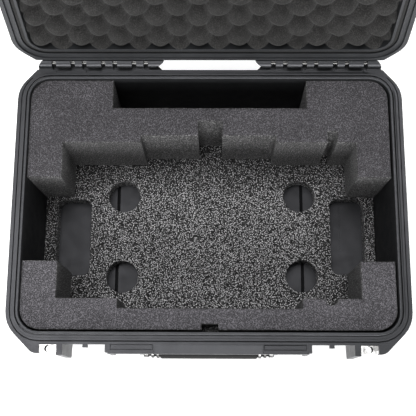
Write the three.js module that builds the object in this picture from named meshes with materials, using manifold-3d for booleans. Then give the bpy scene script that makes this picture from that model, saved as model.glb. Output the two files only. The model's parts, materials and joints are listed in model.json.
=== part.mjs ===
// Waterproof carrying case for a drone: moulded base and lid, cut foam, two hinges, two trigger
// latches and a snap-down carrying handle. Millimetres, +Z up, +X right, the hinges at the back (+Y).
// The origin is the middle of the underside of the base. The lid is drawn closed, in a group that
// turns about the hinge pins, and each latch is drawn closed, in a group that turns about its own pin.
import * as THREE from 'three';
import { mergeVertices } from 'three/addons/utils/BufferGeometryUtils.js';
import Module from 'manifold-3d';

const wasm = await Module();
wasm.setup();

// Base shell: half sizes of the opening at the rim, heights, and the draft of the moulded walls.
const HALF_X = 236;
const HALF_Y = 165.6;
const CORNER_R = 26;
const PARTING = 137.4;
const WALL = 4;
const FOOT_H = 3;
const FLOOR_Z = 7;
const DRAFT = Math.tan(THREE.MathUtils.degToRad(2.6));
const GAP = 0.3;

// Rim profile, as distances outwards from the opening, and the outline of the flange.
const LIP = 4;
const GROOVE = 5.4;
const RIDGE = 7.8;
const LAND = 10.8;
const LIP_H = 2.5;
const RIDGE_H = 0.6;
const GROOVE_DEPTH = 1.8;
const LAND_DROP = 1;
const FLANGE_STEP = 2.4;
const FLANGE_T = 8;
const FOOT_GROOVE = [1.6, 3];
const FLANGE_X = 252.9;
const FLANGE_BACK = 179.8;
const FLANGE_FRONT = 181;
const BLOCK_FRONT = 192.2;

// Lid: height of its rim above the parting plane, inside depth, and how far it stands open.
const LID_GAP = 1;
const LID_INSET = 4;
const LID_DEPTH = 51;
const LID_OPEN = THREE.MathUtils.degToRad(104);

// Hinges: pin axis, knuckle and pin sizes, and each knuckle's span measured out from the middle.
const HINGE_Y = 188.5;
const KNUCKLE_R = 6.5;
const PIN_R = 2;
const LID_KNUCKLES = [[103, 122.5], [143.5, 163], [184, 203.5]];
const BASE_KNUCKLES = [[87.5, 97], [128.5, 138], [169, 178.5]];
const INNER_LUG = [58, 81.5];
const OUTER_LUG = [209, 227.5];
const HINGE_PIN = [71.5, 219];
const HINGE_PIN_HOLE = [56, 230];
const LEAF_T = 5.4;

// Foam: floor pad, and the cut blocks that stand on it.
const PAD_T = 20;
const FOAM_TOP = 134.4;
const FOAM_CLEAR = 0.3;
const LID_FOAM_TIP = PARTING - 1.8;
const POCKET_FRONT = -76.9;
const POCKET_BACK = 32.3;
const COMPARTMENT_X = 191;
const FINGER_HOLE_R = 22.2;
const FINGER_HOLES = [[-120.4, 32.6], [126, 33.6], [-121, -81.4], [127.8, -80]];
const FLOOR_SLOT_HALF = [23.6, 53.8];
const FLOOR_SLOT_R = 11;
const FLOOR_SLOTS = [[-190.2, -26], [192.6, -23.6]];
const DRAIN_GROOVE = { x: [128.5, 132.9], y: [-112, 112], depth: 2.8 };
const FLOW_LINE = { x: [183.2, 184.8], y: [-40, 112], depth: 0.8 };
const BACK_POCKET = { x: [-127.2, 128], front: 126.5 };
const FRONT_NOTCH = { x: [-8.6, 12.2], back: -155.8, depth: 25 };

// Front hardware: latches, hasps and the handle.
const LATCH_X = 153.5;
const LATCH_HALF = 22.8;
const LATCH_PIN_Y = -188;
const LATCH_PIN_Z = PARTING + 12;
const LATCH_PIN_R = 2.5;
const LATCH_OPEN = THREE.MathUtils.degToRad(110);
const TRIGGER_Y = -194.5;
const TRIGGER_Z = PARTING - 19.5;
const HASP_X = [187.8, 208.8];
const HASP_HOLE_R = 4.2;
const HASP_HOLE_Y = -186.2;
const HASP_T = 3;
const HASP_EDGE = 2.5;
const HASP_FRONT = -191;
const TONGUE_T = 10;
const GUARD_DEPTH = 75;
const OUTER_GUARD = [180, 187.5];
const INNER_GUARD = [122, 127.5];
const SHELF_HALF = 124;
const SHELF_FRONT = -192.4;
const SHELF_T = 10;
const DISH_HALF = 67.5;
const CHEEK = [73, 79];
const HANDLE_PIN_Y = -182.5;
const HANDLE_PIN_Z = PARTING - 25;
const HANDLE_PIN_R = 3;
const GRIP_Y = -182.5;
const GRIP_Z = PARTING - 74;
const GRIP_HALF = 64;
const GRIP_HEIGHT = 26;
const GRIP_DEPTH = 24;
const GRIP_R = 9;
const CORE_R = 7;
const HUB_R = 7.6;
const ARM = [85.2, 101];
const TRIGGER_PIN_R = 1.5;
const VALVE_Z = 27;
const VALVE_R = 12;
const VALVE_CAP_R = 8.5;

const plastic = (color, roughness) => new THREE.MeshStandardMaterial({ color, roughness, metalness: 0 });
const shellPlastic = plastic(0x2b2c2e, 0.55);
const hardwarePlastic = plastic(0x232426, 0.5);
const cutFoam = plastic(0x4a4a4d, 0.95);
const padFoam = plastic(0x3a3a3c, 0.95);
const lidFoam = plastic(0x343436, 0.95);
const rubber = plastic(0x1c1c1d, 0.8);
const steel = new THREE.MeshStandardMaterial({ color: 0xc9cbcc, roughness: 0.25, metalness: 1 });

// ---- Shapes -------------------------------------------------------------------------------------

function toSolid(geometry) {
  geometry.deleteAttribute('normal');
  geometry.deleteAttribute('uv');
  const merged = mergeVertices(geometry, 1e-4);
  return new wasm.Manifold(new wasm.Mesh({
    numProp: 3,
    vertProperties: new Float32Array(merged.attributes.position.array),
    triVerts: new Uint32Array(merged.index.array),
  }));
}

function join(...solids) {
  return solids.reduce((sum, next) => sum.add(next));
}

function box(x, y, z) {
  const geometry = new THREE.BoxGeometry(x[1] - x[0], y[1] - y[0], z[1] - z[0]);
  geometry.translate((x[0] + x[1]) / 2, (y[0] + y[1]) / 2, (z[0] + z[1]) / 2);
  return toSolid(geometry);
}

// A plan outline pushed up from z[0] to z[1].
function prism(points, z) {
  const shape = new THREE.Shape(points.map(([x, y]) => new THREE.Vector2(x, y)));
  const geometry = new THREE.ExtrudeGeometry(shape, { depth: z[1] - z[0], bevelEnabled: false });
  geometry.translate(0, 0, z[0]);
  return toSolid(geometry);
}

// A side-view outline of [y, z] points pushed along X from x[0] to x[1].
function profile(points, x) {
  const shape = new THREE.Shape(points.map(([y, z]) => new THREE.Vector2(y, z)));
  const geometry = new THREE.ExtrudeGeometry(shape, { depth: x[1] - x[0], bevelEnabled: false });
  geometry.translate(0, 0, x[0]);
  const turn = new THREE.Matrix4().set(0, 0, 1, 0, 1, 0, 0, 0, 0, 1, 0, 0, 0, 0, 0, 1);
  geometry.applyMatrix4(turn);
  return toSolid(geometry);
}

// A round bar along X, Y or Z.
function bar(axis, radius, span, a, b, sides = 20) {
  const geometry = new THREE.CylinderGeometry(radius, radius, span[1] - span[0], sides);
  const middle = (span[0] + span[1]) / 2;
  if (axis === 'x') {
    geometry.rotateZ(Math.PI / 2).translate(middle, a, b);
  } else if (axis === 'y') {
    geometry.translate(a, middle, b);
  } else {
    geometry.rotateX(Math.PI / 2).translate(a, b, middle);
  }
  return toSolid(geometry);
}

function arcPoints(cx, cy, radius, from, to, steps) {
  return Array.from({ length: steps + 1 }, (_, i) => {
    const angle = from + (to - from) * i / steps;
    return [cx + radius * Math.cos(angle), cy + radius * Math.sin(angle)];
  });
}

function roundRect(halfX, halfY, radius, steps = 6) {
  const quarter = Math.PI / 2;
  const centres = [[1, 1], [-1, 1], [-1, -1], [1, -1]];
  return centres.flatMap(([sx, sy], i) => arcPoints(sx * (halfX - radius), sy * (halfY - radius), radius,
    i * quarter, (i + 1) * quarter, steps));
}

// An outline whose corners [x, y, radius] are rounded by arcs.
function rounded(corners, steps = 4) {
  return corners.flatMap(([x, y, radius], i) => {
    if (!radius) return [[x, y]];
    const at = new THREE.Vector2(x, y);
    const before = new THREE.Vector2(...corners.at(i - 1)).sub(at).normalize();
    const after = new THREE.Vector2(...corners[(i + 1) % corners.length]).sub(at).normalize();
    const half = Math.acos(before.dot(after)) / 2;
    const centre = before.clone().add(after).setLength(radius / Math.sin(half)).add(at);
    const start = before.multiplyScalar(radius / Math.tan(half)).add(at).sub(centre).angle();
    const end = after.multiplyScalar(radius / Math.tan(half)).add(at).sub(centre).angle();
    const turn = Math.atan2(Math.sin(end - start), Math.cos(end - start));
    return arcPoints(centre.x, centre.y, radius, start, start + turn, steps);
  });
}

// The opening's outline moved outwards by an offset (inwards where it is negative).
function rim(offset) {
  return roundRect(HALF_X + offset, HALF_Y + offset, CORNER_R + offset);
}

// A closed skin through rings [z, points], all with the same number of points.
function loft(rings) {
  const count = rings[0][1].length;
  const positions = rings.flatMap(([z, points]) => points.flatMap(([x, y]) => [x, y, z]));
  const index = [];
  for (let r = 0; r + 1 < rings.length; r += 1) {
    for (let i = 0; i < count; i += 1) {
      const [a, b] = [r * count + i, r * count + (i + 1) % count];
      index.push(a, b, b + count, a, b + count, a + count);
    }
  }
  const top = (rings.length - 1) * count;
  for (let i = 1; i + 1 < count; i += 1) {
    index.push(0, i + 1, i, top, top + i, top + i + 1);
  }
  const geometry = new THREE.BufferGeometry();
  geometry.setAttribute('position', new THREE.Float32BufferAttribute(positions, 3));
  geometry.setIndex(index);
  return toSolid(geometry);
}

// Rings [z, offset from the opening's outline].
const rimLoft = (rings) => loft(rings.map(([z, offset]) => [z, rim(offset)]));

// A square-sided ring round the opening, between two offsets.
const rimRing = (inner, outer, z) => prism(rim(outer), z).subtract(prism(rim(inner), [z[0] - 1, z[1] + 1]));

// The same solid on the other side of the case.
const mirrored = (solid) => solid.mirror([1, 0, 0]);
const both = (solid) => solid.add(mirrored(solid));

function piece(name, solid, material, group) {
  const { vertProperties, triVerts } = solid.getMesh();
  let geometry = new THREE.BufferGeometry();
  geometry.setAttribute('position', new THREE.BufferAttribute(vertProperties, 3));
  geometry.setIndex(new THREE.BufferAttribute(triVerts, 1));
  geometry = geometry.toNonIndexed();
  geometry.computeVertexNormals();
  const mesh = new THREE.Mesh(geometry, material);
  mesh.name = name;
  group.add(mesh);
}

// ---- Outlines shared by base and lid ---------------------------------------------------------------

const chamferX = 229;
const blockX = FLANGE_X - (BLOCK_FRONT - 156.7);
const rightSide = [
  [HASP_X[1] + GAP, -FLANGE_FRONT, 0],
  [HASP_X[1] + GAP, -BLOCK_FRONT, 1],
  [blockX, -BLOCK_FRONT, 12],
  [FLANGE_X, -156.7, 40],
  [FLANGE_X, 153.5, 38],
  [chamferX, FLANGE_BACK, 3],
];
const leftSide = rightSide.map(([x, y, radius]) => [-x, y, radius]).reverse();
const flangeOutline = rounded([...rightSide, ...leftSide]);

// How far the inside wall stands from the opening's outline at a height, by draft.
const wallAt = (z) => -DRAFT * (PARTING - z);

// The slot in a front corner that a hasp plate is pressed into.
const BASE_HASP_Z = PARTING - 8;
const LID_HASP_Z = PARTING + 4;
function haspSlot(z) {
  const reach = HASP_EDGE + 0.5;
  return box([HASP_X[0] - reach, HASP_X[1] + reach], [HASP_FRONT - 0.4, -FLANGE_FRONT],
    [z - GAP, z + HASP_T + GAP]);
}

// The padlock hole through a hasp plate, or the larger one through the tongue under it.
function haspHole(z, radius = HASP_HOLE_R) {
  return bar('z', radius, z, (HASP_X[0] + HASP_X[1]) / 2, HASP_HOLE_Y, 24);
}

// ---- Base shell ------------------------------------------------------------------------------------

function baseBody() {
  const flangeTop = PARTING - FLANGE_STEP;
  const flange = prism(flangeOutline, [flangeTop - FLANGE_T, flangeTop]);
  const land = prism(rim(LAND), [flangeTop - FLANGE_T, PARTING - LAND_DROP]);
  const ridge = prism(rim(RIDGE), [PARTING - GROOVE_DEPTH, PARTING + RIDGE_H]);
  const lip = prism(rim(LIP), [PARTING - GROOVE_DEPTH, PARTING + LIP_H]);
  const groove = rimRing(LIP, GROOVE, [PARTING - GROOVE_DEPTH, PARTING + 2 * LIP_H]);
  const walls = rimLoft([
    [FOOT_H, -10.5], [5, -6.2], [8.5, -3.2], [15, wallAt(15) + WALL],
    [PARTING - FLANGE_T, wallAt(PARTING - FLANGE_T) + WALL],
  ]);
  return join(flange, land, ridge, lip, walls).subtract(groove);
}

// The narrow groove at the foot of the land, which runs on across the handle's shelf.
function footGroove() {
  const top = PARTING - FLANGE_STEP;
  const front = box([-300, 300], [-300, HINGE_Y - 20], [0, PARTING + 10]);
  return rimRing(LAND, LAND + FOOT_GROOVE[0], [top - FOOT_GROOVE[1], top + 1]).intersect(front);
}

function baseInside() {
  return rimLoft([[FLOOR_Z, -11], [10, -7.4], [15, wallAt(15)], [PARTING + 10, wallAt(PARTING + 10)]]);
}

// Triangular gussets that carry the flange, on the back, front and sides.
function gussets() {
  const under = PARTING - FLANGE_STEP - FLANGE_T + 1;
  const wallY = HALF_Y + WALL - 1.6;
  const wallX = HALF_X + WALL - 1.6;
  const [height, half] = [16, 1.5];
  const ribs = [-220, -50, -25, 0, 25, 50, 220].map((x) => profile([[wallY, under], [wallY + 8, under],
    [wallY, under - height]], [x - half, x + half]));
  for (let y = -120; y <= 120; y += 30) {
    const side = profile([[0, under], [0, under - height], [9, under]], [y - half, y + half]);
    const turned = side.rotate([0, 0, -90]).translate([wallX, 0, 0]);
    ribs.push(turned, mirrored(turned));
  }
  return join(...ribs);
}

// Raised fields and bands on the outside of the walls, and the pads and rail that the base rests on.
function outsideRelief() {
  const band = rimLoft([[62, wallAt(62) + WALL - 1], [64, wallAt(64) + WALL + 1.4],
    [76, wallAt(76) + WALL + 1.4], [78, wallAt(78) + WALL - 1]]);
  const pad = prism(roundRect(34, 24, 10).map(([x, y]) => [x + 178, y + 112]), [0, FOOT_H + 1]);
  const rail = prism(roundRect(120, 16, 8), [0, FOOT_H + 1]);
  const pads = both(join(pad, pad.mirror([0, 1, 0])));
  return join(band, pads, rail);
}

// One side's hinge leaves on the base: knuckles, tapered outer lug and the tray that runs under them.
function baseHinge() {
  const leafZ = [PARTING - 2.6 - LEAF_T, PARTING - 2.6];
  const knuckles = BASE_KNUCKLES.map((span) => join(
    bar('x', KNUCKLE_R, span, HINGE_Y, PARTING),
    box(span, [170, HINGE_Y], leafZ),
  ));
  const lugPlan = prism([[56, 160], [OUTER_LUG[1], 160], [OUTER_LUG[1], 181.5], [222.5, 188.5],
    [213, 195.5], [208.5, 199], [80, 199], [62, 181]], [0, PARTING + 20]);
  const lug = join(bar('x', KNUCKLE_R, OUTER_LUG, HINGE_Y, PARTING), box(OUTER_LUG, [170, HINGE_Y], leafZ))
    .intersect(lugPlan);
  const tray = profile([[168, PARTING - 8], [168, PARTING - 27], [184, PARTING - 17], [198.5, PARTING - 13],
    [198.5, PARTING - 9], [176, PARTING - 9], [176, PARTING - 8]], [60, OUTER_LUG[1]]).intersect(lugPlan);
  return join(...knuckles, lug, tray);
}

function hingeCuts() {
  const windows = LID_KNUCKLES.map(([a, b]) => box([a - 1, b + 1], [176, 184], [PARTING - 7, PARTING + 1]));
  const slots = LID_KNUCKLES.map(([a, b]) => box([(a + b) / 2 - 4.5, (a + b) / 2 + 4.5], [185, 187.4],
    [PARTING - 30, PARTING - 7]));
  const swing = LID_KNUCKLES.map(([a, b]) => bar('x', KNUCKLE_R + 1, [a - 1, b + 1], HINGE_Y, PARTING));
  return join(...windows, ...slots, ...swing);
}

// The tall guard ribs on both sides of each latch, and the small lug that the latch closes over.
function latchGuards() {
  const top = PARTING - FLANGE_STEP;
  const bottom = PARTING - GUARD_DEPTH;
  const guard = (front, x) => profile([[-162, top], [-162, bottom - 14], [-176, bottom - 3],
    [front + 3, bottom], [front, bottom + 3], [front, top]], x);
  const guide = profile([[-176, top], [-176, top - 8], [-182, top - 8], [-185, top - 5], [-185, top]],
    [LATCH_X - 4.4, LATCH_X + 1.6]);
  return join(guard(-194.4, OUTER_GUARD), guard(-190.8, INNER_GUARD), guide);
}

// The moulded tongue that backs a hasp plate.
function haspTongue() {
  const z = [BASE_HASP_Z - GAP - TONGUE_T, BASE_HASP_Z - GAP];
  const tongue = box([HASP_X[0] - 1, HASP_X[1] + 1], [HASP_FRONT + 0.4, -FLANGE_FRONT + 1], z);
  return tongue.subtract(haspHole([z[0] - 1, z[1] + 1], HASP_HOLE_R + 0.4));
}

// The handle's shelf across the front, with a grooved panel at each end and a dished middle, and the
// cheeks under it that hold the handle's pins.
function handleShelf() {
  const top = PARTING - FLANGE_STEP;
  const shelf = box([-SHELF_HALF, SHELF_HALF], [SHELF_FRONT, -172], [top - SHELF_T, top]);
  const dish = profile([[-182, top + 1], [-182, top - 0.2], [SHELF_FRONT, top - 4.5],
    [SHELF_FRONT - 6, top - 4.5], [SHELF_FRONT - 6, top + 1]], [-DISH_HALF, DISH_HALF]);
  const frame = box([68.1, 121], [-188, -180.9], [top - 2.4, top + 1])
    .subtract(box([69.3, 119.8], [-186.8, -182.1], [0, top + 2]));
  const cheek = profile([[-162, top - 2], [-162, top - 40], [-178, top - 34], [-188, top - 29],
    [-190.5, top - 22], [-190.5, top - 2]], CHEEK);
  return { solid: join(shelf, both(cheek)), cuts: join(dish, both(frame)) };
}

// A shallow channel moulded in the floor.
const floorChannel = ({ x, y, depth }) => box(x, y, [FLOOR_Z - depth, FLOOR_Z + 1]);

function baseShell() {
  const shelf = handleShelf();
  const boss = bar('y', VALVE_R + 5, [-169.5, -161], 0, VALVE_Z, 32);
  const whole = join(baseBody(), gussets(), outsideRelief(), both(baseHinge()), both(latchGuards()),
    both(haspTongue()), shelf.solid, boss);
  const pinHole = bar('x', PIN_R + GAP, HINGE_PIN_HOLE, HINGE_Y, PARTING, 16);
  const handlePinHole = bar('x', HANDLE_PIN_R + GAP, [70, 125.5], HANDLE_PIN_Y, HANDLE_PIN_Z, 20);
  const channels = join(both(floorChannel(DRAIN_GROOVE)), floorChannel(FLOW_LINE));
  const valveSeat = bar('y', VALVE_R + 0.4, [-172, -166.8], 0, VALVE_Z, 32);
  return whole.subtract(baseInside()).subtract(both(hingeCuts())).subtract(both(pinHole))
    .subtract(shelf.cuts).subtract(both(handlePinHole)).subtract(both(haspSlot(BASE_HASP_Z)))
    .subtract(valveSeat).subtract(channels).subtract(footGroove());
}

// ---- Foam ------------------------------------------------------------------------------------------

function floorPad() {
  const bottom = FLOOR_Z + GAP;
  const top = bottom + PAD_T;
  const pad = rimLoft([[bottom, -12], [10.5, -8.2], [15, wallAt(15) - FOAM_CLEAR],
    [top, wallAt(top) - FOAM_CLEAR]]);
  const through = [bottom - 1, top + 1];
  const holes = FINGER_HOLES.map(([x, y]) => bar('z', FINGER_HOLE_R, through, x, y, 32));
  const slot = prism(roundRect(...FLOOR_SLOT_HALF, FLOOR_SLOT_R), through);
  const slots = FLOOR_SLOTS.map(([x, y]) => slot.translate([x, y, 0]));
  return pad.subtract(join(...holes, ...slots));
}

// The drone's compartment, open at both sides to the case wall. Its steps are at these distances from the
// middle, and its outline runs from the left along the front and returns along the back.
const SIDE_X = 260;
const FRONT_STEP = -123.8;
const FRONT_WALL = -136.2;
const BACK_STEP = 79.2;
const BACK_WALL = 88.3;
const HALF_ROUND = { x: 153.8, radius: 8.4 };
const CENTRE_NOTCH = { x: [-14.7, 17], y: 108.5 };
const NARROW_SLOT = { x: [154.1, 166.7], y: 94.5 };
const compartment = [
  [-SIDE_X, POCKET_FRONT], [-COMPARTMENT_X, POCKET_FRONT], [-COMPARTMENT_X, FRONT_STEP],
  [-114, FRONT_STEP], [-114, FRONT_WALL], [117, FRONT_WALL], [117, FRONT_STEP],
  ...arcPoints(HALF_ROUND.x, FRONT_STEP, HALF_ROUND.radius, Math.PI, 2 * Math.PI, 10),
  [COMPARTMENT_X, FRONT_STEP], [COMPARTMENT_X, POCKET_FRONT], [SIDE_X, POCKET_FRONT],
  [SIDE_X, POCKET_BACK], [COMPARTMENT_X, POCKET_BACK], [COMPARTMENT_X, BACK_STEP],
  [NARROW_SLOT.x[1], BACK_STEP], [NARROW_SLOT.x[1], NARROW_SLOT.y],
  [NARROW_SLOT.x[0], NARROW_SLOT.y], [NARROW_SLOT.x[0], BACK_STEP],
  [87, BACK_STEP], [87, BACK_WALL], [CENTRE_NOTCH.x[1], BACK_WALL], [CENTRE_NOTCH.x[1], CENTRE_NOTCH.y],
  [CENTRE_NOTCH.x[0], CENTRE_NOTCH.y], [CENTRE_NOTCH.x[0], BACK_WALL], [-89, BACK_WALL],
  [-89, BACK_STEP], [-COMPARTMENT_X, BACK_STEP], [-COMPARTMENT_X, POCKET_BACK], [-SIDE_X, POCKET_BACK],
];

function foamBlocks() {
  const bottom = FLOOR_Z + PAD_T + 2 * GAP;
  const slab = rimLoft([[bottom, wallAt(bottom) - FOAM_CLEAR], [FOAM_TOP, wallAt(FOAM_TOP) - FOAM_CLEAR]]);
  const cut = slab.subtract(prism(compartment, [0, PARTING + 10]));
  const backPocket = box(BACK_POCKET.x, [BACK_POCKET.front, 200], [0, PARTING + 10]);
  const fingerNotch = box(FRONT_NOTCH.x, [-200, FRONT_NOTCH.back],
    [FOAM_TOP - FRONT_NOTCH.depth, PARTING + 10]);
  const middle = (POCKET_FRONT + POCKET_BACK) / 2;
  return {
    back: cut.intersect(box([-300, 300], [middle, 300], [0, 200])).subtract(backPocket),
    front: cut.intersect(box([-300, 300], [-300, middle], [0, 200])).subtract(fingerNotch),
  };
}

// ---- Lid, drawn closed -----------------------------------------------------------------------------

const LID_RIM = PARTING + LID_GAP;

function lidHinge() {
  const leafZ = [PARTING + 1.2, PARTING + 1.2 + LEAF_T];
  const spans = [...LID_KNUCKLES, INNER_LUG];
  const knuckles = spans.map((span) => join(
    bar('x', KNUCKLE_R, span, HINGE_Y, PARTING),
    box(span, [172, HINGE_Y], leafZ),
  ));
  const taper = prism([[58, 160], [58, 180.5], [70, 189], [80, 196], [300, 196], [300, 160]],
    [PARTING - 20, PARTING + 20]);
  return join(...knuckles).intersect(taper);
}

function lidShell() {
  const flange = prism(flangeOutline, [LID_RIM, LID_RIM + FLANGE_T]);
  const skirt = prism(flangeOutline, [PARTING - FLANGE_STEP + 0.4, LID_RIM + 1])
    .subtract(prism(rim(LAND + 0.5), [PARTING - 10, LID_RIM + 2]));
  const body = rimLoft([[LID_RIM + 1, 1], [PARTING + 38, -0.6], [PARTING + 46, -3.4], [PARTING + 52, -9],
    [PARTING + LID_DEPTH + WALL, -18]]);
  const inside = rimLoft([[PARTING - 5, -LID_INSET], [PARTING + 38, -5.6], [PARTING + 45, -9],
    [PARTING + LID_DEPTH, -19]]);
  const groove = rimRing(-0.6, LIP + 0.6, [PARTING - 5, PARTING + 8]);
  const earProfile = [[-168, LID_RIM], [-181, LID_RIM], [-195, PARTING + 4], [-195, PARTING + 14],
    [-188, PARTING + 21], [-160, PARTING + 25], [-160, LID_RIM + 2]];
  const ear = (x) => profile(earProfile, x);
  const ears = both(join(ear([LATCH_X - 28, LATCH_X - 24]), ear([LATCH_X + 24, LATCH_X + 28])));
  const haspLug = both(profile([[-176, LID_RIM + 12], [-194.4, LID_RIM + 8], [-194.4, LID_RIM],
    [-176, LID_RIM]], [182, OUTER_GUARD[1]]));
  const top = PARTING + LID_DEPTH + WALL;
  const rail = prism(roundRect(170, 9, 7).map(([x, y]) => [x, y + 92]), [top - 1, top + 2.5]);
  const corner = prism(roundRect(30, 22, 10).map(([x, y]) => [x + 176, y + 108]), [top - 1, top + 2.5]);
  const pads = both(join(corner, corner.mirror([0, 1, 0])));
  const relief = join(rail, rail.mirror([0, 1, 0]), pads);
  const pinHole = bar('x', PIN_R + GAP, HINGE_PIN_HOLE, HINGE_Y, PARTING, 16);
  const latchPinSpan = [LATCH_X - 26.5, LATCH_X + 26.5];
  const latchPin = bar('x', LATCH_PIN_R + GAP, latchPinSpan, LATCH_PIN_Y, LATCH_PIN_Z, 16);
  return join(flange, skirt, body, both(lidHinge()), ears, haspLug, relief).subtract(inside).subtract(groove)
    .subtract(both(haspSlot(LID_HASP_Z))).subtract(both(pinHole)).subtract(both(latchPin));
}

function lidGasket() {
  return rimRing(-GAP, LIP + GAP, [PARTING + 3.2, PARTING + 8 - GAP]);
}

function lidLiner() {
  return rimLoft([[LID_FOAM_TIP, -LID_INSET - GAP], [PARTING + 38, -6.2], [PARTING + 44.5, -9.6],
    [PARTING + LID_DEPTH - GAP, -19.8]]);
}

// ---- Hasp plates, latches and handle ----------------------------------------------------------------

function haspPlate(z) {
  const plate = box([HASP_X[0] - HASP_EDGE, HASP_X[1] + HASP_EDGE], [HASP_FRONT, -FLANGE_FRONT - GAP],
    [z, z + HASP_T]);
  return plate.subtract(haspHole([z - 1, z + HASP_T + 1]));
}

// The latch's parts are drawn with x measured from the middle of the latch.
const triggerPinHole = (x = [-14, 14], sides = 12) => bar('x', TRIGGER_PIN_R + GAP, x, TRIGGER_Y, TRIGGER_Z,
  sides);

function latchLever() {
  const x = [-LATCH_HALF, LATCH_HALF];
  const plate = profile([[-190, PARTING - 34], [-190, PARTING + 6], [-184, PARTING + 6],
    [-184, PARTING + 16], [-192, PARTING + 17], [-197, PARTING + 13], [-199, PARTING - 10],
    [-198, PARTING - 34]], x);
  const hook = profile([[-190, PARTING - 10.9], [-175.5, PARTING - 10.9], [-175, PARTING - 13],
    [-190, PARTING - 17]], x);
  const rib = profile([[-190, PARTING - 30], [-190, PARTING + 8], [-198.6, PARTING + 8],
    [-200.3, PARTING - 10], [-199.4, PARTING - 30]], [14.5, 18.5]);
  const barrel = bar('x', 6, x, LATCH_PIN_Y, LATCH_PIN_Z);
  const pinHole = bar('x', LATCH_PIN_R + GAP, [-30, 30], LATCH_PIN_Y, LATCH_PIN_Z, 16);
  const window = box([-11, 11], [-210, -185], [PARTING - 31.5, PARTING - 16]);
  return join(plate, hook, both(rib), barrel).subtract(pinHole).subtract(window).subtract(triggerPinHole());
}

function trigger() {
  const body = profile([[-192, PARTING - 30], [-192, PARTING - 17], [-198, PARTING - 17],
    [-200.5, PARTING - 25], [-201, PARTING - 30]], [-8.6, 8.6]);
  return body.subtract(triggerPinHole());
}

// The cap of the pressure valve, with grip notches round its edge.
function valveCap() {
  const cap = bar('y', VALVE_CAP_R, [-176.5, -172.8], 0, VALVE_Z, 24);
  const notches = Array.from({ length: 8 }, (_, i) => {
    const angle = 2 * Math.PI * i / 8;
    const [x, z] = [Math.cos(angle), Math.sin(angle)].map((part) => part * (VALVE_CAP_R + 0.5));
    return bar('y', 1.7, [-178, -174.5], x, VALVE_Z + z, 10);
  });
  return cap.subtract(join(...notches));
}

function springRing(x) {
  const outer = bar('x', 2.9, x, TRIGGER_Y, TRIGGER_Z, 16);
  return outer.subtract(triggerPinHole([x[0] - 1, x[1] + 1], 16));
}

// The handle hangs from two hubs, and its arms swing under the shelf.
function handleFrame() {
  const hub = bar('x', HUB_R, [80, 121], HANDLE_PIN_Y, HANDLE_PIN_Z);
  const arm = profile([[HANDLE_PIN_Y - 7, HANDLE_PIN_Z], [HANDLE_PIN_Y + 8, HANDLE_PIN_Z],
    [GRIP_Y + 10, GRIP_Z + 4], [GRIP_Y + 9, GRIP_Z - 10], [GRIP_Y - 4, GRIP_Z - 10],
    [GRIP_Y - 5.8, GRIP_Z + 4]], ARM);
  const core = bar('x', CORE_R, [-90, 90], GRIP_Y, GRIP_Z);
  const pinHole = bar('x', HANDLE_PIN_R + GAP, [70, 130], HANDLE_PIN_Y, HANDLE_PIN_Z);
  return join(both(join(hub, arm).subtract(pinHole)), core);
}

function handleGrip() {
  const [back, front] = [GRIP_Y + GRIP_DEPTH / 2, GRIP_Y - GRIP_DEPTH / 2];
  const [low, high] = [GRIP_Z - GRIP_HEIGHT / 2, GRIP_Z + GRIP_HEIGHT / 2];
  const corners = [[front, low], [back, low], [back, high], [front, high]];
  const outline = rounded(corners.map((corner) => [...corner, GRIP_R]), 5);
  return profile(outline, [-GRIP_HALF, GRIP_HALF])
    .subtract(bar('x', CORE_R + GAP, [-90, 90], GRIP_Y, GRIP_Z));
}

// The ribbed steel ferrule between the grip and an arm, turned about the handle's core.
function ferrule() {
  const span = [GRIP_HALF + GAP, ARM[0] - GAP];
  const length = span[1] - span[0];
  const ribs = [[0, 4.2, 11.6], [4.8, 6.4, 9.2], [7, 11, 11.2], [11.6, 13.2, 8.8], [13.8, length, 10.2]];
  const outside = ribs.flatMap(([from, to, radius]) => [new THREE.Vector2(radius, from),
    new THREE.Vector2(radius, to)]);
  const bore = CORE_R + GAP;
  const inside = [new THREE.Vector2(bore, length), new THREE.Vector2(bore, 0)];
  const geometry = new THREE.LatheGeometry([...outside, ...inside, outside[0]], 24);
  geometry.rotateZ(-Math.PI / 2).translate(span[0], GRIP_Y, GRIP_Z);
  return toSolid(geometry);
}

// ---- Assembly --------------------------------------------------------------------------------------

// A group that turns its contents by an angle about an axis along X through (y, z).
function turnedGroup(parent, x, y, z, angle, dx) {
  const pivot = new THREE.Group();
  pivot.position.set(x, y, z);
  pivot.rotation.x = angle;
  const inner = new THREE.Group();
  inner.position.set(dx - x, -y, -z);
  pivot.add(inner);
  parent.add(pivot);
  return inner;
}

const carryingCase = new THREE.Group();
const blocks = foamBlocks();
piece('base_shell', baseShell(), shellPlastic, carryingCase);
piece('foam_floor_pad', floorPad(), padFoam, carryingCase);
piece('foam_back_block', blocks.back, cutFoam, carryingCase);
piece('foam_front_block', blocks.front, cutFoam, carryingCase);
piece('valve_body', bar('y', VALVE_R, [-172.5, -167.1], 0, VALVE_Z, 32), hardwarePlastic, carryingCase);
piece('valve_cap', valveCap(), hardwarePlastic, carryingCase);

const lid = turnedGroup(carryingCase, 0, HINGE_Y, PARTING, -LID_OPEN, 0);
piece('lid_shell', lidShell(), shellPlastic, lid);
piece('lid_gasket', lidGasket(), rubber, lid);
piece('lid_foam', lidLiner(), lidFoam, lid);

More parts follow.
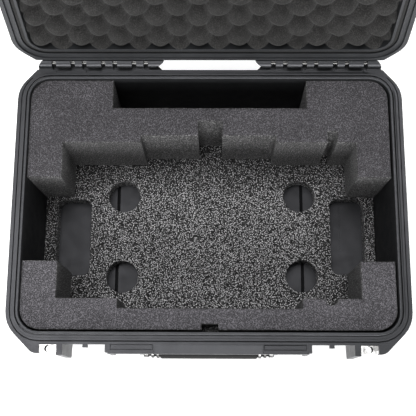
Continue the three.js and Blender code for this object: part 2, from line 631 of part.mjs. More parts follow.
for (const [side, sign] of [['left', -1], ['right', 1]]) {
  const sided = (solid) => (sign > 0 ? solid : mirrored(solid));
  const name = (words) => `${words}_${side}`;
  piece(name('hinge_pin'), sided(bar('x', PIN_R, HINGE_PIN, HINGE_Y, PARTING, 16)), steel, carryingCase);
  piece(name('base_hasp_plate'), sided(haspPlate(BASE_HASP_Z)), steel, carryingCase);
  piece(name('lid_hasp_plate'), sided(haspPlate(LID_HASP_Z)), steel, lid);
  piece(name('handle_pin'), sided(bar('x', HANDLE_PIN_R, [71, 125], HANDLE_PIN_Y, HANDLE_PIN_Z)), steel,
    carryingCase);
  piece(name('handle_ferrule'), sided(ferrule()), steel, carryingCase);
  piece(name('latch_pin'), sided(bar('x', LATCH_PIN_R, [LATCH_X - 26, LATCH_X + 26], LATCH_PIN_Y,
    LATCH_PIN_Z, 16)), steel, lid);

  const latch = turnedGroup(lid, 0, LATCH_PIN_Y, LATCH_PIN_Z, -LATCH_OPEN, sign * LATCH_X);
  piece(name('latch_lever'), latchLever(), hardwarePlastic, latch);
  piece(name('latch_trigger'), trigger(), hardwarePlastic, latch);
  piece(name('trigger_pin'), bar('x', TRIGGER_PIN_R, [-13.5, 13.5], TRIGGER_Y, TRIGGER_Z, 12), steel, latch);
  piece(name('trigger_spring'), springRing([-10.7, -8.9]), steel, latch);
}

piece('handle_frame', handleFrame(), hardwarePlastic, carryingCase);
piece('handle_grip', handleGrip(), rubber, carryingCase);

export default carryingCase;
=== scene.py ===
import json
import math

import bmesh
import bpy
import numpy as np
from mathutils import Matrix, Vector
from mathutils.geometry import delaunay_2d_cdt


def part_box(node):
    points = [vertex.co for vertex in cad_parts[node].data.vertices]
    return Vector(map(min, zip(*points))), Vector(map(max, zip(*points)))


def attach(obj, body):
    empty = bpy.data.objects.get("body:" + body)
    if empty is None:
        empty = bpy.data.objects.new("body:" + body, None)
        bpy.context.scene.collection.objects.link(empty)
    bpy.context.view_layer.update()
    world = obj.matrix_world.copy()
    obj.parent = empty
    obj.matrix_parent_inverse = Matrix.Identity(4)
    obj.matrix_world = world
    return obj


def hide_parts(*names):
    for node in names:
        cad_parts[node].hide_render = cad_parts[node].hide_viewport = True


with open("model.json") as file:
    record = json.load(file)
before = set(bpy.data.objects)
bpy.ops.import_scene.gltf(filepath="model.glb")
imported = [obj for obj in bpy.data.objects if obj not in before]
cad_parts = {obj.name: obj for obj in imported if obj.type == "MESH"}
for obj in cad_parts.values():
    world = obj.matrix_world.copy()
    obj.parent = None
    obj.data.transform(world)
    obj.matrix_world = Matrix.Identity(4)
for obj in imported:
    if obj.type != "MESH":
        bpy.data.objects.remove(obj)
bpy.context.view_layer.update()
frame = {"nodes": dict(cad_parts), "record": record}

MM = 0.001
NODES = frame["nodes"]

# ---- Camera -------------------------------------------------------------------------------------------

CAMERA_AT = Vector((0.0103, -0.2494, 1.1690))
PITCH, YAW, ROLL = (math.radians(a) for a in (76.873, -2.739, -2.523))
FOCAL_PER_WIDTH = 831.703 / 416
SENSOR = 36


def make_camera():
    data = bpy.data.cameras.new("camera")
    data.sensor_width = SENSOR
    data.lens = FOCAL_PER_WIDTH * SENSOR
    data.clip_start, data.clip_end = 0.01, 50
    obj = bpy.data.objects.new("camera", data)
    ahead = Vector((math.sin(YAW) * math.cos(PITCH), math.cos(YAW) * math.cos(PITCH), -math.sin(PITCH)))
    level = Vector((math.cos(YAW), -math.sin(YAW), 0))
    above = level.cross(ahead)
    right = math.cos(ROLL) * level + math.sin(ROLL) * above
    up = math.cos(ROLL) * above - math.sin(ROLL) * level
    turn = Matrix((right, up, -ahead)).transposed()
    obj.matrix_world = Matrix.Translation(CAMERA_AT) @ turn.to_4x4()
    bpy.context.scene.collection.objects.link(obj)
    bpy.context.scene.camera = obj


make_camera()

# ---- Materials ----------------------------------------------------------------------------------------


class Tree:
    """A small helper for building one material's nodes."""

    def __init__(self, name, **shader):
        self.material = bpy.data.materials.new(name)
        self.material.use_nodes = True
        self.tree = self.material.node_tree
        self.shader = self.tree.nodes["Principled BSDF"]
        for socket, value in shader.items():
            self.shader.inputs[socket.replace("_", " ")].default_value = value
        coords = self.tree.nodes.new("ShaderNodeTexCoord")
        self.place = coords.outputs["Object"]

    def node(self, kind, values=None, **settings):
        made = self.tree.nodes.new("ShaderNode" + kind)
        for key, value in settings.items():
            setattr(made, key, value)
        for key, value in (values or {}).items():
            if isinstance(value, bpy.types.NodeSocket):
                self.tree.links.new(value, made.inputs[key])
            else:
                made.inputs[key].default_value = value
        return made

    def stretched(self, scale):
        return self.node("Mapping", {"Vector": self.place, "Scale": scale}).outputs["Vector"]

    def noise(self, size, detail=2.0, rough=0.5, place=None):
        """Noise from 0 to 1 with features of that size, in millimetres."""
        values = {"Vector": place or self.place, "Scale": 1 / (size * MM), "Detail": detail,
                  "Roughness": rough}
        return self.node("TexNoise", values).outputs["Fac"]

    def cells(self, size, feature="F1", output="Distance"):
        made = self.node("TexVoronoi", feature=feature)
        self.tree.links.new(self.place, made.inputs["Vector"])
        made.inputs["Scale"].default_value = 1 / (size * MM)
        return made.outputs[output]

    def ramp(self, fac, stops):
        made = self.node("ValToRGB", {"Fac": fac})
        ramp = made.color_ramp
        while len(ramp.elements) < len(stops):
            ramp.elements.new(0.5)
        for element, (at, colour) in zip(ramp.elements, stops):
            element.position = at
            element.color = (*colour, 1) if len(colour) == 3 else colour
        return made.outputs["Color"]

    def math(self, operation, a, b=0.0):
        return self.node("Math", {0: a, 1: b}, operation=operation).outputs[0]

    def spread(self, value, low, high, out_low, out_high):
        made = self.node("MapRange", {"Value": value, "From Min": low, "From Max": high, "To Min": out_low,
                                      "To Max": out_high})
        return made.outputs["Result"]

    def mix(self, fac, a, b, blend="MIX"):
        made = self.node("Mix", data_type="RGBA", blend_type=blend)
        for key, value in ((0, fac), (6, a), (7, b)):
            if isinstance(value, bpy.types.NodeSocket):
                self.tree.links.new(value, made.inputs[key])
            else:
                made.inputs[key].default_value = value
        return made.outputs[2]

    def set(self, socket, value):
        self.tree.links.new(value, self.shader.inputs[socket])

    def bump(self, height, depth, strength=1.0, under=None):
        """depth is how far the height's full range stands out, in millimetres."""
        values = {"Height": height, "Distance": depth * MM, "Strength": strength}
        if under is not None:
            values["Normal"] = under
        return self.node("Bump", values).outputs["Normal"]


def grey(level, warm=0.0):
    """A near-neutral linear colour: warm above 0 leans to red, below 0 to blue."""
    return (level * (1 + warm), level, level * (1 - warm), 1)


def moulded_plastic(name, dark, light, rough, grain, relief=0.05, gloss=0.5):
    """grain is the size of the mould's texture and relief its depth, in millimetres."""
    t = Tree(name, Metallic=0.0, Specular_IOR_Level=gloss, Specular_Tint=(0.93, 0.93, 1, 1))
    broad = t.noise(60, 3)
    fine = t.noise(grain, 2, 0.6)
    pores = t.cells(grain * 1.6)
    tone = t.math("ADD", t.math("MULTIPLY", broad, 0.6), t.math("MULTIPLY", fine, 0.4))
    t.set("Base Color", t.mix(t.spread(tone, 0.3, 0.7, 0, 1), grey(dark, -0.06), grey(light, -0.06)))
    t.set("Roughness", t.spread(t.math("ADD", fine, t.noise(14, 3)), 0.7, 1.3, rough - 0.06, rough + 0.08))
    t.set("Normal", t.bump(fine, relief, 0.8, under=t.bump(pores, relief * 0.8, 0.5)))
    return t.material


def foam(name, stops, cell, depth, rough=0.9, sheen=0.25, blotch=0.12, drawn_out=1.0):
    """Closed or open cells: dark pits between lighter cell walls, with a slow change of tone.
    drawn_out is how much taller than wide the cells are, as a blade leaves them on a cut wall."""
    t = Tree(name, Roughness=rough, Specular_IOR_Level=0.25, Sheen_Weight=sheen, Sheen_Roughness=0.5)
    if drawn_out != 1.0:
        t.place = t.stretched((1, 1, 1 / drawn_out))
    pits = t.cells(cell)
    speck = t.noise(cell * 0.9, 3, 0.7)
    height = t.math("ADD", pits, speck)
    tone = t.ramp(t.spread(height, 0.55, 1.35, 0, 1), stops)
    slow = t.spread(t.noise(45, 2), 0.3, 0.7, 1 - blotch, 1 + blotch)
    t.set("Base Color", t.node("VectorMath", {0: tone, "Scale": slow}, operation="SCALE").outputs[0])
    t.set("Normal", t.bump(height, depth))
    return t.material


# The floor pad's cells in millimetres, and the painted shade at its edges: from where, to where, and how
# much darker.
PAD_CELL = 1.75
PAD_BACK_SHADE = (0.025, 0.075, 0.085)
PAD_SIDE_SHADE = (0.13, 0.185, 0.055)


def glitter_foam(name):
    """The coarse floor foam: a painted glint, a bright colour at the middle of each cell, over dark pits.
    Its cells are painted darker near the back and the sides: painted shade, as the blocks would shade
    them."""
    t = Tree(name, Specular_IOR_Level=0.3)
    middle = t.spread(t.cells(PAD_CELL), 0.12, 0.62, 1, 0)
    split = t.node("SeparateColor", {"Color": t.cells(PAD_CELL, output="Color")})
    fine = t.noise(PAD_CELL * 0.45, 2, 0.6)
    level = t.math("ADD", t.math("MULTIPLY", middle, 0.55), t.math("MULTIPLY", split.outputs[0], 0.16))
    level = t.math("ADD", level, t.math("MULTIPLY", fine, 0.3))
    place = t.node("SeparateXYZ", {"Vector": t.place}).outputs
    back = t.spread(place[1], PAD_BACK_SHADE[0], PAD_BACK_SHADE[1], 0, PAD_BACK_SHADE[2])
    side = t.spread(t.math("ABSOLUTE", place[0]), PAD_SIDE_SHADE[0], PAD_SIDE_SHADE[1], 0, PAD_SIDE_SHADE[2])
    # Painted shade: the level drops towards the back and the sides.
    level = t.math("SUBTRACT", level, t.math("MAXIMUM", back, side))
    # The ramp's top stops give each cell's middle a bright colour: a painted glint.
    tone = t.ramp(level, [(0.0, (0.001, 0.001, 0.001)), (0.34, (0.006, 0.006, 0.006)),
                          (0.47, (0.132, 0.130, 0.134)), (0.62, (0.54, 0.535, 0.545)),
                          (1.0, (0.95, 0.94, 0.95))])
    t.set("Base Color", tone)
    t.set("Roughness", t.spread(split.outputs[1], 0, 1, 0.35, 0.8))
    t.set("Normal", t.bump(t.math("ADD", middle, fine), 0.7))
    return t.material


def rubber(name, level, grain):
    t = Tree(name, Roughness=0.75, Specular_IOR_Level=0.1)
    fine = t.noise(grain, 3, 0.6)
    t.set("Base Color", t.mix(fine, grey(level * 0.8), grey(level * 1.25)))
    t.set("Normal", t.bump(fine, 0.06))
    return t.material


def polished_steel(name, level, rough, scratch, metallic=1.0, patch=0.88):
    """patch is the tone of the patches, as a share of the level: mild patches are smudges, deep ones are
    painted dark reflections.
    """
    t = Tree(name, Metallic=metallic)
    brushed = t.noise(0.5, 3, 0.6, t.stretched((0.06, 1, 1)))
    smudge = t.noise(7, 3)
    patches = t.spread(t.noise(5, 1), 0.4, 0.55, 0, 1)
    t.set("Base Color", t.mix(patches, grey(level * patch, 0.01), grey(level, 0.01)))
    t.set("Roughness", t.spread(t.math("ADD", brushed, smudge), 0.6, 1.4, rough - 0.06, rough + 0.08))
    t.set("Normal", t.bump(brushed, scratch, 0.5))
    return t.material


MATERIALS = {
    "shell_plastic": moulded_plastic("shell_plastic", 0.010, 0.020, 0.38, 1.5, 0.12, gloss=0.38),
    # The inside plastic below is a darker copy of the shell plastic, and the black after it is near black
    # for channels, grooves and holes: both are painted shade.
    "shell_inside_painted_shade": moulded_plastic("shell_inside_painted_shade", 0.005, 0.007, 0.5, 0.5, gloss=0.32),
    "painted_shade_black": moulded_plastic("painted_shade_black", 0.0015, 0.002, 0.7, 0.5, gloss=0.1),
    "hardware_plastic": moulded_plastic("hardware_plastic", 0.013, 0.016, 0.34, 0.5),
    "cut_foam": foam("cut_foam", [(0, (0.0085, 0.0082, 0.009)), (0.5, (0.0298, 0.0285, 0.0314)),
                                  (1, (0.101, 0.0965, 0.106))], 1.2, 0.5, sheen=0.12),
    # The front block's foam below is a lighter copy of cut_foam: painted light.
    "front_foam_painted_light": foam("front_foam_painted_light", [(0, (0.011, 0.0107, 0.0118)), (0.5, (0.0385, 0.037, 0.0412)),
                                      (1, (0.130, 0.1245, 0.137))], 1.2, 0.5, sheen=0.12),
    "cut_foam_side": foam("cut_foam_side", [(0, (0.003, 0.003, 0.003)), (0.45, (0.016, 0.0157, 0.016)),
                                            (0.65, (0.047, 0.046, 0.047)), (1, (0.15, 0.149, 0.15))],
                          1.6, 0.8, sheen=0.05, drawn_out=1.2),
    "pad_foam": glitter_foam("pad_foam"),
    "lid_foam": foam("lid_foam", [(0, (0.002, 0.002, 0.002)), (0.5, (0.0090, 0.0087, 0.0084)),
                                  (1, (0.027, 0.0263, 0.0255))], 1.3, 0.5, sheen=0.05),
    "seal_rubber": rubber("seal_rubber", 0.018, 0.6),
    "grip_rubber": rubber("grip_rubber", 0.009, 0.7),
    "steel": polished_steel("steel", 0.78, 0.22, 0.01),
    # The hasp plates' deep patches, and the ferrules' low level and deep patches, are painted dark
    # reflections.
    "plate_steel": polished_steel("plate_steel", 0.80, 0.3, 0.003, 0.85, patch=0.4),
    "ferrule_steel": polished_steel("ferrule_steel", 0.14, 0.17, 0.003, patch=0.3),
    "dark_steel": polished_steel("dark_steel", 0.13, 0.26, 0.004),
}

# ---- Mesh tools ---------------------------------------------------------------------------------------

MERGE = 2e-6


def body_of(node):
    return next(body for body, nodes in frame["record"]["behaviour"]["bodies"].items() if node in nodes)


def welded(node):
    """A bmesh of a CAD node with its split corners joined."""
    bm = bmesh.new()
    bm.from_mesh(NODES[node].data)
    bmesh.ops.remove_doubles(bm, verts=bm.verts, dist=MERGE)
    return bm


def add_piece(name, mesh, slot, body, *replaced):
    mesh.materials.clear()
    mesh.materials.append(MATERIALS[slot])
    obj = bpy.data.objects.new(name, mesh)
    bpy.context.scene.collection.objects.link(obj)
    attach(obj, body)
    if replaced:
        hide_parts(*replaced)
    return obj


def to_mesh(bm, name, smooth=True):
    bmesh.ops.recalc_face_normals(bm, faces=bm.faces)
    mesh = bpy.data.meshes.new(name)
    bm.to_mesh(mesh)
    bm.free()
    mesh.polygons.foreach_set("use_smooth", [smooth] * len(mesh.polygons))
    return mesh


def from_arrays(name, points, faces, smooth=True):
    mesh = bpy.data.meshes.new(name)
    mesh.from_pydata([tuple(p) for p in points], [], [tuple(f) for f in faces])
    bm = bmesh.new()
    bm.from_mesh(mesh)
    bpy.data.meshes.remove(mesh)
    return to_mesh(bm, name, smooth)


SHARP = math.radians(28)


def softened(node, width, slot, bead=None, finish=None):
    """A copy of a CAD node with its long sharp edges rounded, as a moulding or a pressing has them.
    bead is a height and a radius: level edges at that height are rounded by that radius first."""
    bm = welded(node)
    bmesh.ops.dissolve_limit(bm, angle_limit=math.radians(1), verts=bm.verts, edges=bm.edges)
    if bead:
        level = [e for e in bm.edges if all(abs(v.co.z - bead[0]) < 1e-5 for v in e.verts)
                 and len(e.link_faces) == 2 and e.calc_face_angle(0) > SHARP]
        bmesh.ops.bevel(bm, geom=level, offset=bead[1] * MM, offset_type="OFFSET", segments=4, profile=0.5,
                        affect="EDGES", clamp_overlap=True)
    width *= MM
    sharp = dict.fromkeys(e for e in bm.edges if len(e.link_faces) == 2 and e.calc_face_angle(0) > SHARP)
    roomy = [e for e in sharp if e.calc_length() > 1.5 * width and all(
        other in sharp or other.calc_length() > 3 * width
        for v in e.verts for other in v.link_edges if other is not e)]
    short = {e for e in bm.edges if e.calc_length() < 2.2 * width}
    roomy = [e for e in roomy if not any(o in short for v in e.verts for o in v.link_edges)]
    bmesh.ops.bevel(bm, geom=roomy, offset=width, offset_type="OFFSET", segments=2, profile=0.6,
                    affect="EDGES", clamp_overlap=True, loop_slide=True)
    mesh = to_mesh(bm, node + "_finished")
    mesh.set_sharp_from_angle(angle=math.radians(40))
    obj = add_piece(node + "_finished", mesh, slot, body_of(node), node)
    if finish:
        mesh.materials[0] = MATERIALS[finish]
    weighted = obj.modifiers.new("flat faces stay flat", "WEIGHTED_NORMAL")
    weighted.keep_sharp = True
    weighted.weight = 90
    return obj


def lattice(i, j, k, seed):
    """A repeatable random number from 0 to 1 for each whole-numbered place."""
    with np.errstate(over="ignore"):
        n = (i.astype(np.uint32) * np.uint32(374761393) + j.astype(np.uint32) * np.uint32(668265263)
             + k.astype(np.uint32) * np.uint32(2246822519) + np.uint32(seed * 3266489917 & 0xFFFFFFFF))
        n = (n ^ (n >> np.uint32(13))) * np.uint32(1274126177)
        n = n ^ (n >> np.uint32(16))
    return n.astype(np.float64) / 4294967295


def smooth_noise(points, size, seed):
    """Smooth noise from -1 to 1 whose features have that size in metres."""
    at = np.asarray(points) / size + 1000
    whole = np.floor(at).astype(np.int64)
    part = at - whole
    part = part * part * (3 - 2 * part)
    total = np.zeros(len(at))
    for dx in (0, 1):
        for dy in (0, 1):
            for dz in (0, 1):
                weight = np.ones(len(at))
                for axis, d in enumerate((dx, dy, dz)):
                    weight = weight * (part[:, axis] if d else 1 - part[:, axis])
                total += weight * lattice(whole[:, 0] + dx, whole[:, 1] + dy, whole[:, 2] + dz, seed)
    return total * 2 - 1


def coords(mesh):
    co = np.zeros(len(mesh.vertices) * 3)
    mesh.vertices.foreach_get("co", co)
    return co.reshape(-1, 3)


def normals(mesh):
    no = np.zeros(len(mesh.vertices) * 3)
    mesh.vertices.foreach_get("normal", no)
    return no.reshape(-1, 3)


def push(mesh, amounts):
    """Moves each vertex along its normal by an amount in metres."""
    co = coords(mesh) + normals(mesh) * amounts[:, None]
    mesh.vertices.foreach_set("co", co.ravel())
    mesh.update()


# ---- Hard parts ---------------------------------------------------------------------------------------

SOFTEN = {
    "base_shell": (0.6, "shell_plastic"),
    "lid_shell": (0.6, "shell_plastic"),
    "handle_frame": (1.2, "hardware_plastic"),
    "valve_body": (0.5, "hardware_plastic"),
    "valve_cap": (0.5, "hardware_plastic"),
}
for side in ("left", "right"):
    SOFTEN["latch_lever_" + side] = (0.7, "hardware_plastic")
    SOFTEN["latch_trigger_" + side] = (0.5, "hardware_plastic")
    for part, bevel in (("hinge_pin", 0.4), ("base_hasp_plate", 0.4), ("lid_hasp_plate", 0.4),
                        ("handle_pin", 0.4), ("latch_pin", 0.4), ("trigger_pin", 0.25)):
        SOFTEN[f"{part}_{side}"] = (bevel, "steel")
FINISH = {"hinge_pin": "dark_steel", "base_hasp_plate": "plate_steel", "lid_hasp_plate": "plate_steel"}
# The base in metres: its lip's top, parting line, half opening, corner radius, and its walls' slope.
# LIP_ROUND is in millimetres.
LIP_TOP = 0.1399
PARTING = 0.1374
OPENING = np.array([0.2360, 0.1656])
OPENING_R = 0.026
DRAFT = math.tan(math.radians(2.6))
LIP_ROUND = 1.2
hard = {}
for node, (width, slot) in SOFTEN.items():
    hard[node] = softened(node, width, slot, bead=(LIP_TOP, LIP_ROUND) if node == "base_shell" else None,
                          finish=FINISH.get(node.rpartition("_")[0]))


def rim_direction(points):
    """For each point, the way out to the case wall, and how far past the corner arcs' middles it is."""
    past = np.maximum(np.abs(points) - (OPENING - OPENING_R), 0) * np.sign(points)
    far = np.linalg.norm(past, axis=1)
    return past / np.maximum(far, 1e-9)[:, None], far


def face_middles(mesh):
    middle = np.zeros(len(mesh.polygons) * 3)
    mesh.polygons.foreach_get("center", middle)
    return middle.reshape(-1, 3)


FLOOR = 7 * MM
WALL_SLACK = 2 * MM
RIM_DEPTH = 3.2 * MM
CHANNEL_DEPTH = 1 * MM


def paint_inside_shade():
    """The faces inside the base are smoother and painted darker, and the channels in its floor painted
    near black: both painted shade.
    """
    mesh = hard["base_shell"].data
    mesh.materials.append(MATERIALS["shell_inside_painted_shade"])
    mesh.materials.append(MATERIALS["painted_shade_black"])
    middle = face_middles(mesh)
    _, far = rim_direction(middle[:, :2])
    wall = OPENING_R - DRAFT * (PARTING - middle[:, 2]) + WALL_SLACK
    low = (middle[:, 2] > FLOOR - RIM_DEPTH) & (middle[:, 2] < PARTING - RIM_DEPTH)
    inside = low & (far < wall) & (np.abs(middle[:, 1]) < OPENING[1]) & (np.abs(middle[:, 0]) < OPENING[0])
    channel = inside & (middle[:, 2] < FLOOR - CHANNEL_DEPTH)
    # Inside faces get the darker copy and channel faces the near black: painted shade.
    mesh.polygons.foreach_set("material_index", inside.astype(np.int32) + channel)


PADLOCK_HOLE_Y = -186.2 * MM
PADLOCK_REACH = 5.2 * MM
TONGUE_REACH = 8 * MM


def paint_padlock_hole_shade():
    """The walls of the padlock holes, through the plates and the shell under them, are painted near black:
    painted shade.
    """
    for side in ("left", "right"):
        plate = "base_hasp_plate_" + side
        lo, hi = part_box(plate)
        for node in (plate, "base_shell"):
            mesh = hard[node].data
            black = mesh.materials.find("painted_shade_black")
            if black < 0:
                black = len(mesh.materials)
                mesh.materials.append(MATERIALS["painted_shade_black"])
            middle = face_middles(mesh)
            facing = np.zeros(len(mesh.polygons) * 3)
            mesh.polygons.foreach_get("normal", facing)
            from_axis = np.hypot(middle[:, 0] - (lo.x + hi.x) / 2, middle[:, 1] - PADLOCK_HOLE_Y)
            near = (from_axis < PADLOCK_REACH) & (np.abs(middle[:, 2] - lo.z) < TONGUE_REACH)
            near &= np.abs(facing[2::3]) < 0.95
            index = np.zeros(len(mesh.polygons), np.int32)
            mesh.polygons.foreach_get("material_index", index)
            # The hole walls take the near-black material: painted shade.
            index[near] = black
            mesh.polygons.foreach_set("material_index", index)


# How far out from the opening the seal groove lies, and from how high to how far below the parting line.
SEAL_GROOVE = (3.7, 5.7)
SEAL_DEPTHS = (-1, 2.2)
# Painted shade in the seal groove: near black where the rim faces further sideways than SIDEWAYS, darker
# plastic elsewhere, and none where it faces further front than FRONTWARD.
SIDEWAYS = 0.6
FRONTWARD = -0.5


def paint_seal_groove_shade():
    """The seal groove is painted near black along the case's sides and painted darker along its back, as
    shade. Its floor is one long face, so it is first cut across near the corners."""
    mesh = hard["base_shell"].data
    bm = bmesh.new()
    bm.from_mesh(mesh)

    def in_groove(point):
        past = (rim_direction(np.array([point.xy]))[1][0] - OPENING_R) / MM
        depth = (PARTING - point.z) / MM
        return SEAL_GROOVE[0] < past < SEAL_GROOVE[1] and SEAL_DEPTHS[0] < depth < SEAL_DEPTHS[1]

    near = {v for v in bm.verts if in_groove(v.co)}
    corner = OPENING - OPENING_R * 0.3
    for axis in (0, 1):
        for sign in (-1, 1):
            faces = [f for f in bm.faces if all(v in near for v in f.verts)]
            geom = [*faces, *dict.fromkeys(e for f in faces for e in f.edges),
                    *dict.fromkeys(v for f in faces for v in f.verts)]
            spot, across = Vector((0, 0, 0)), Vector((0, 0, 0))
            spot[axis], across[axis] = sign * corner[axis], 1
            cut = bmesh.ops.bisect_plane(bm, geom=geom, dist=1e-6, plane_co=spot, plane_no=across)
            near |= {v for v in cut["geom_cut"] if isinstance(v, bmesh.types.BMVert)}
    black, dark = mesh.materials.find("painted_shade_black"), mesh.materials.find("shell_inside_painted_shade")
    for face in bm.faces:
        if all(v in near for v in face.verts):
            out = rim_direction(np.array([face.calc_center_median().xy]))[0][0]
            if out[1] > FRONTWARD:
                face.material_index = black if abs(out[0]) > SIDEWAYS else dark
    bm.to_mesh(mesh)
    bm.free()


paint_inside_shade()
paint_padlock_hole_shade()
paint_seal_groove_shade()

softened("lid_gasket", 0.9, "seal_rubber")

# ---- Floor pad ----------------------------------------------------------------------------------------


def top_loops(node):
    """The closed outlines round the highest flat face of a CAD node, as lists of 2-D points."""
    bm = welded(node)
    top = max(v.co.z for v in bm.verts)
    flat = {f for f in bm.faces if f.normal.z > 0.99 and abs(f.calc_center_median().z - top) < 1e-4}
    ahead = {}
    for face in flat:
        for loop in face.loops:
            if not all(f in flat for f in loop.edge.link_faces):
                ahead[loop.vert.index] = loop.link_loop_next.vert.index
    where = {v.index: v.co.xy.copy() for v in bm.verts}
    loops = []
    while ahead:
        first, at = ahead.popitem()
        chain = [first]
        while at != first:
            chain.append(at)
            at = ahead.pop(at)
        loops.append([where[i] for i in chain])
    bm.free()
    return top, loops


def resampled(loop, step):
    made = []
    for a, b in zip(loop, loop[1:] + loop[:1]):
        count = max(1, round((b - a).length / step))
        made += [a.lerp(b, i / count) for i in range(count)]
    return np.array([tuple(p) for p in made])


def area_of(loop):
    x, y = loop[:, 0], loop[:, 1]
    return float(np.sum(x * np.roll(y, -1) - np.roll(x, -1) * y) / 2)


def inset(loop, distance):
    """Moves a loop to its left, which is into the material when outer loops run anticlockwise."""
    ahead = np.roll(loop, -1, 0) - loop
    ahead /= np.linalg.norm(ahead, axis=1)[:, None]
    left = np.stack([-ahead[:, 1], ahead[:, 0]], 1)
    before = np.roll(left, 1, 0)
    turn = np.maximum(1 + np.sum(left * before, 1), 0.4)
    return loop + distance * (left + before) / turn[:, None]


def points_inside(points, loop):
    """Whether each point is inside a closed loop."""
    x, y = points[:, 0], points[:, 1]
    inside = np.zeros(len(points), bool)
    for (x1, y1), (x2, y2) in zip(loop, np.roll(loop, -1, 0)):
        if y1 == y2:
            continue
        crosses = (y1 > y) != (y2 > y)
        inside ^= crosses & (x < (x2 - x1) * (y - y1) / (y2 - y1) + x1)
    return inside


def fill_between(loops, inner):
    """Triangles inside the largest loop and outside the others. The loops' points are numbered first."""
    points, edges = [], []
    for loop in loops:
        start = len(points)
        points += [Vector(p) for p in loop]
        edges += [(start + i, start + (i + 1) % len(loop)) for i in range(len(loop))]
    points += [Vector(p) for p in inner]
    where, _, faces, origins, _, _ = delaunay_2d_cdt(points, edges, [], 1, 1e-7, True)
    middles = np.array([sum((Vector(where[i]) for i in f), Vector((0, 0))) / 3 for f in faces])
    outer, *holes = sorted(loops, key=lambda each: -abs(area_of(each)))
    keep = points_inside(middles, outer)
    for loop in holes:
        keep &= ~points_inside(middles, loop)
    back = [o[0] for o in origins]
    return [tuple(back[i] for i in f) for f, kept in zip(faces, keep) if kept]


def distance_to(points, loops):
    """Distance from each point to the nearest loop, near enough for thinning a grid."""
    best = np.full(len(points), 1e9)
    for loop in loops:
        for start in range(0, len(loop), 64):
            part = loop[start:start + 64]
            gap = np.linalg.norm(points[:, None, :] - part[None], axis=2).min(1)
            best = np.minimum(best, gap)
    return best


NOTCH_BEHIND = -0.150


def filled_in(loop, notch):
    """The loop with a notch's points slid out onto the block's edge: the loop below the notch's floor."""
    (x0, x1), edge_y = notch
    inside = np.where((loop[:, 0] > x0 - 1e-4) & (loop[:, 0] < x1 + 1e-4) & (loop[:, 1] < NOTCH_BEHIND))[0]
    path = loop[inside]
    along = np.r_[0, np.cumsum(np.linalg.norm(np.diff(path, axis=0), axis=1))]
    moved = loop.copy()
    moved[inside, 0] = path[0, 0] + (path[-1, 0] - path[0, 0]) * along / along[-1]
    moved[inside, 1] = edge_y
    return moved


# How far the foam blocks stand clear of the case wall on two sides, and how they are meshed.
RIGHT_GAP = 1.2 * MM
FRONT_GAP = 2.0 * MM
BLOCK_STEP = 2.4 * MM
BLOCK_PITCH = 4.2 * MM


def cut_block(node, name, seed, finish="cut_foam", notch=None, notch_depth=0.0):
    """A foam block with small rounded edges. It stands a little clear of the case at the front and right.
    notch is its pair of x values and the y of the edge it is cut in. notch_depth is in millimetres."""
    top, loops = top_loops(node)
    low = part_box(node)[0].z
    loop = resampled(max(loops, key=len), BLOCK_STEP)
    if area_of(loop) < 0:
        loop = loop[::-1]
    if notch:  # start the loop away from the notch, so its points follow one another
        loop = np.roll(loop, -int(np.argmax(loop[:, 1])), 0)
    out, far = rim_direction(loop)
    on_wall = (far > OPENING_R - 2.2 * MM)[:, None]
    gap = RIGHT_GAP * np.maximum(out[:, :1], 0) + FRONT_GAP * np.maximum(-out[:, 1:], 0)
    loose = on_wall * out * gap
    height = top - low
    # rings down the wall: how far below the top, and how far into the foam, in millimetres
    steps = [(0.0, 0.75), (0.2, 0.2), (0.75, 0.0),
             *[(d, 0.0) for d in np.arange(4, 1000 * height - 3, 4.5)], (1000 * height, 0.0)]
    points, faces, rings = [], [], []
    count = len(loop)
    below = filled_in(loop, notch) if notch else loop
    levels = []
    for depth, into in steps:
        if notch and levels and levels[-1][0] < notch_depth <= depth:
            levels += [(notch_depth, 0.0, loop), (notch_depth, 0.0, below)]
        levels.append((depth, into, below if notch and depth >= notch_depth else loop))
    for depth, into, path in levels:
        ring = inset(path, into * MM) if into else path
        ring = ring - on_wall * out * DRAFT * depth * MM - loose
        rings.append((len(points), ring))
        points += [(x, y, top - depth * MM) for x, y in ring]
    for (a, _), (b, _) in zip(rings, rings[1:]):
        faces += [(a + k, b + k, b + (k + 1) % count, a + (k + 1) % count) for k in range(count)]
    sides = len(faces)
    rng = np.random.default_rng(seed)
    lo, hi = loop.min(0), loop.max(0)
    grid = np.array([(x, y) for y in np.arange(lo[1], hi[1], BLOCK_PITCH)
                     for x in np.arange(lo[0], hi[0], BLOCK_PITCH)])
    grid = grid + rng.uniform(-0.3, 0.3, grid.shape) * BLOCK_PITCH
    first, last = rings[0][1], rings[-1][1]
    grid = grid[points_inside(grid, first)]
    grid = grid[distance_to(grid, [first]) > 1.6 * MM]
    order = [*range(count), *range(len(points), len(points) + len(grid))]
    points += [(x, y, top) for x, y in grid]
    faces += [tuple(order[k] for k in tri) for tri in fill_between([first], grid)]
    start = rings[-1][0]
    faces += [tuple(start + k for k in reversed(tri)) for tri in fill_between([last], [])]
    mesh = from_arrays(name, points, faces)
    co = coords(mesh)
    push(mesh, (0.16 * smooth_noise(co, 0.033, seed) + 0.1 * smooth_noise(co, 0.007, seed + 1)) * MM)
    mesh.set_sharp_from_angle(angle=math.radians(55))
    obj = add_piece(name, mesh, "cut_foam", "base", node)
    mesh.materials[0] = MATERIALS[finish]
    mesh.materials.append(MATERIALS["cut_foam_side"])
    indices = np.zeros(len(mesh.polygons), np.int32)
    indices[:sides] = 1
    mesh.polygons.foreach_set("material_index", indices)
    return obj


FINGER_NOTCH = (-0.0086, 0.0122)
FINGER_NOTCH_DEPTH = 25.0
cut_block("foam_back_block", "foam_back", 11)
# The front block gets the lighter copy of the foam: painted light.
cut_block("foam_front_block", "foam_front", 21, "front_foam_painted_light",
          (FINGER_NOTCH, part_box("foam_front_block")[0].y), FINGER_NOTCH_DEPTH)

PAD_STEP = 1.6 * MM
PAD_PITCH = 1.45 * MM
PAD_SEEN = (-0.140, 0.112)


